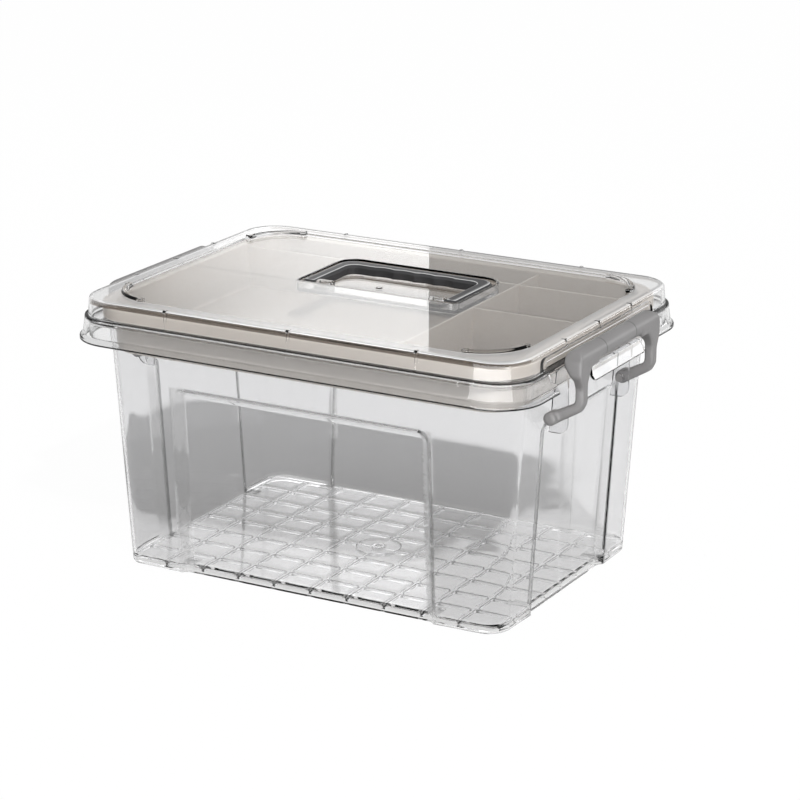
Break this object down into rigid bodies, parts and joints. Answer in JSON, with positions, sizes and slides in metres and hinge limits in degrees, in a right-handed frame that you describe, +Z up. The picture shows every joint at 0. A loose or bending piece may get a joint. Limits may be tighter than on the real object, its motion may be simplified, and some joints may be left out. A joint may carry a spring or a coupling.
{
  "type": "storage box",
  "caption": "Clear plastic storage box for medicines, with a lift-out divided tray, a lift-off lid, a folding carry handle in the lid and a swinging bail latch on each end.",
  "frame": {"origin": "middle of the footprint, at the height of the surface the foot ring stands on", "axes": "+X along the length to the right-hand latch, +Y to the back, +Z up"},
  "size_m": [0.4234, 0.2964, 0.2234],
  "materials": {
    "clear_plastic": "clear, polished, water white",
    "lid_plastic": "clear, polished, water white",
    "tray_plastic": "warm grey beige, satin",
    "handle_plastic": "dark grey, gloss with bright moulded edges",
    "latch_plastic": "mid grey, satin"
  },
  "bodies": {
    "tub": {"tub": "clear_plastic"},
    "tray": {"inner_tray": "tray_plastic"},
    "lid": {"lid": "lid_plastic"},
    "handle": {"carry_handle": "handle_plastic"},
    "right_latch": {"right_latch": "latch_plastic"},
    "left_latch": {"left_latch": "latch_plastic"}
  },
  "joints": [
    {"name": "tray_lift", "type": "slide", "parent": "tub", "child": "tray", "axis": [0, 0, 1], "range_m": [0, 0.1]},
    {"name": "lid_lift", "type": "slide", "parent": "tray", "child": "lid", "axis": [0, 0, 1], "range_m": [0, 0.12]},
    {"name": "handle_swing", "type": "hinge", "parent": "lid", "child": "handle", "pos_m": [0, 0.003, 0.2164], "axis": [1, 0, 0], "range_deg": [0, 90]},
    {"name": "right_latch_swing", "type": "hinge", "parent": "tub", "child": "right_latch", "pos_m": [0.18513, 0, 0.161], "axis": [0, 1, 0], "range_deg": [0, 110]},
    {"name": "left_latch_swing", "type": "hinge", "parent": "tub", "child": "left_latch", "pos_m": [-0.18513, 0, 0.161], "axis": [0, -1, 0], "range_deg": [0, 110]}
  ]
}
